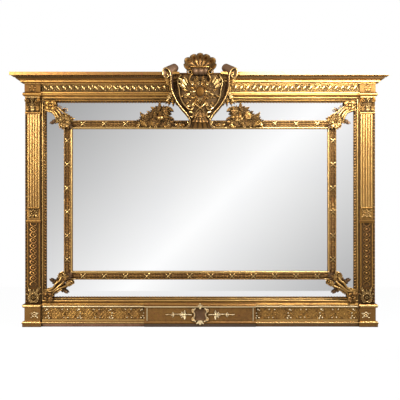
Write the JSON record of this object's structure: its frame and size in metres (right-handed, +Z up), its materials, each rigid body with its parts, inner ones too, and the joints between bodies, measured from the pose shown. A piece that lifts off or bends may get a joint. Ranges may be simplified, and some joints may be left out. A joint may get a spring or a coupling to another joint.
{
  "type": "overmantel mirror",
  "caption": "Wide gilt overmantel mirror: margin plates round a carved slip, reeded pilasters, egg frieze, broken cornice and a shell-topped cartouche crest.",
  "frame": {"origin": "middle of the bounding box at the level of the shelf that the mirror stands on", "axes": "+Z up, +X to the right as one faces the mirror, +Y towards the wall behind it; the mirror faces -Y"},
  "size_m": [2.068, 0.188, 1.4907],
  "materials": {
    "gilt_wood": "antique gold leaf over red bole on carved wood and composition, worn on the edges and toned with umber in the recesses",
    "bright_gilt": "burnished gold leaf over red bole",
    "dark_gilt": "matt bronze-toned gold leaf, much toned and rubbed",
    "mirror_glass": "silvered plate glass",
    "pine": "bare pine, darkened with age",
    "iron": "dark wrought iron"
  },
  "bodies": {
    "frame": {"stile_left": "pine", "stile_right": "pine", "top_rail": "pine", "bottom_rail": "pine", "backboards": "pine", "hanger_rail": "pine", "lower_batten": "pine", "strap_hanger_left": "iron", "strap_hanger_right": "iron", "hanger_screws": "iron", "plate_main": "mirror_glass", "plate_top": "mirror_glass", "plate_bottom": "mirror_glass", "plate_left": "mirror_glass", "plate_right": "mirror_glass", "slip_top": "gilt_wood", "slip_bottom": "gilt_wood", "slip_left": "gilt_wood", "slip_right": "gilt_wood", "sight_top": "gilt_wood", "sill": "gilt_wood", "sight_left": "bright_gilt", "sight_right": "bright_gilt", "pilaster_left": "gilt_wood", "pilaster_right": "gilt_wood", "reeding_left": "bright_gilt", "reeding_right": "bright_gilt", "capital_left": "gilt_wood", "capital_right": "gilt_wood", "boss_left": "dark_gilt", "boss_right": "dark_gilt", "panel_left": "gilt_wood", "panel_right": "gilt_wood", "plinth_left": "gilt_wood", "plinth_right": "gilt_wood", "architrave": "bright_gilt", "frieze_board": "gilt_wood", "frieze_block_left": "gilt_wood", "frieze_block_right": "gilt_wood", "egg_row_left": "bright_gilt", "egg_row_right": "bright_gilt", "cornice_left": "gilt_wood", "cornice_right": "gilt_wood", "dust_board": "pine", "base_frieze": "dark_gilt", "base_moulding": "dark_gilt", "centre_tablet": "gilt_wood", "tablet_cartouche": "bright_gilt", "clasp_top_left": "gilt_wood", "clasp_top_right": "gilt_wood", "clasp_bottom_left": "gilt_wood", "clasp_bottom_right": "gilt_wood", "crest_cartouche": "gilt_wood", "crest_shell": "dark_gilt", "spray_left": "dark_gilt", "spray_right": "dark_gilt"},
    "ring_left": {"hanger_ring_left": "iron"},
    "ring_right": {"hanger_ring_right": "iron"}
  },
  "joints": [
    {"name": "ring_left_swing", "type": "hinge", "parent": "frame", "child": "ring_left", "pos_m": [-0.4, 0.08735, 1.069], "axis": [1, 0, 0], "range_deg": [0, 180]},
    {"name": "ring_right_swing", "type": "hinge", "parent": "frame", "child": "ring_right", "pos_m": [0.4, 0.08735, 1.069], "axis": [1, 0, 0], "range_deg": [0, 180]}
  ]
}
